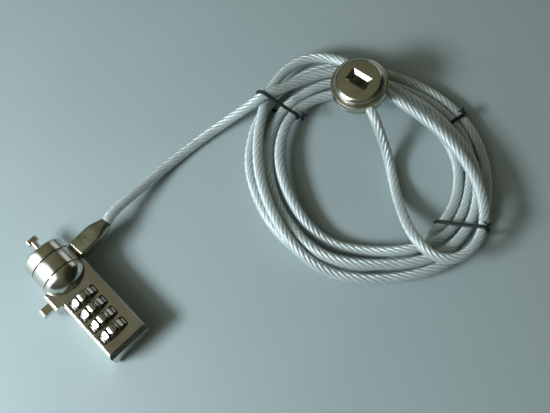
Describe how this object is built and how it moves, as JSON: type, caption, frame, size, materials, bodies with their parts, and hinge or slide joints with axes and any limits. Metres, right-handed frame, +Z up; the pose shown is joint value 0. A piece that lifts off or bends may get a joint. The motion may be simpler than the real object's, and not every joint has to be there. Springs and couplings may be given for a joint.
{
  "type": "laptop cable lock",
  "caption": "Combination laptop cable lock: lock head with number wheels, push button and turning T-bar nose on a swivel collar, coiled steel cable with ties and a slotted anchor disc.",
  "frame": {"origin": "underside of the bottom cover, directly below the barrel axis, at the level the object lies on", "axes": "+Y along the barrel towards the T-bar, +X towards the cable ferrule, +Z up"},
  "size_m": [0.1996, 0.1401, 0.0252],
  "materials": {
    "housing_nickel": "polished nickel plate on cast zinc, warm grey",
    "dial_nickel": "bright nickel plated lobed wheels",
    "barrel_nickel": "polished turned nickel plate with fine lathe lines",
    "ferrule_nickel": "nickel plate, crimp marks",
    "tbar_chrome": "polished hardened steel",
    "button_nickel": "polished nickel plate",
    "anchor_nickel": "polished nickel plate, turned",
    "inner_steel": "plain machined steel",
    "brass": "turned brass",
    "cable_sleeve": "twisted galvanised steel strands in a clear plastic sleeve",
    "tie_plastic": "black plastic coated wire tie"
  },
  "bodies": {
    "root": {"swivel_collar": "barrel_nickel", "cable_ferrule": "ferrule_nickel", "anchor_base": "anchor_nickel", "anchor_cap": "anchor_nickel", "anchor_crimp": "inner_steel", "cable_lead": "cable_sleeve", "cable_coil": "cable_sleeve", "cable_tail": "cable_sleeve", "tie_1": "tie_plastic", "tie_2": "tie_plastic", "tie_3": "tie_plastic"},
    "housing": {"lock_housing": "housing_nickel", "bottom_cover": "housing_nickel", "cover_screw_1": "inner_steel", "cover_screw_2": "inner_steel", "dial_shaft": "inner_steel", "detent_spring": "inner_steel", "swivel_sleeve": "inner_steel", "front_cap": "barrel_nickel", "button_spring": "inner_steel"},
    "button": {"release_button": "button_nickel", "release_slider": "inner_steel"},
    "tbar": {"tbar_spindle": "tbar_chrome", "spindle_crank": "inner_steel"},
    "dial_1_set": {"dial_1": "dial_nickel", "clutch_sleeve_1": "brass"},
    "dial_2_set": {"dial_2": "dial_nickel", "clutch_sleeve_2": "brass"},
    "dial_3_set": {"dial_3": "dial_nickel", "clutch_sleeve_3": "brass"},
    "dial_4_set": {"dial_4": "dial_nickel", "clutch_sleeve_4": "brass"}
  },
  "joints": [
    {"name": "head_swivel", "type": "hinge", "parent": "root", "child": "housing", "pos_m": [0, 0.0258, 0.0103], "axis": [0, 1, 0], "continuous": true},
    {"name": "dial_1_turn", "type": "hinge", "parent": "housing", "child": "dial_1_set", "pos_m": [0, 0.0079, 0.0103], "axis": [0, 1, 0], "continuous": true},
    {"name": "dial_2_turn", "type": "hinge", "parent": "housing", "child": "dial_2_set", "pos_m": [0, 0.00163, 0.0103], "axis": [0, 1, 0], "continuous": true},
    {"name": "dial_3_turn", "type": "hinge", "parent": "housing", "child": "dial_3_set", "pos_m": [0, -0.00464, 0.0103], "axis": [0, 1, 0], "continuous": true},
    {"name": "dial_4_turn", "type": "hinge", "parent": "housing", "child": "dial_4_set", "pos_m": [0, -0.01091, 0.0103], "axis": [0, 1, 0], "continuous": true},
    {"name": "button_press", "type": "slide", "parent": "housing", "child": "button", "axis": [1, 0, 0], "range_m": [0, 0.0026], "stiffness_N_per_m": 150, "springref_m": -0.001},
    {"name": "tbar_turn", "type": "hinge", "parent": "housing", "child": "tbar", "pos_m": [0, 0.03, 0.0103], "axis": [0, -1, 0], "range_deg": [0, 90]}
  ],
  "couplings": [
    {"joint": "tbar_turn", "follows": "button_press", "rad_per_m": 600}
  ]
}
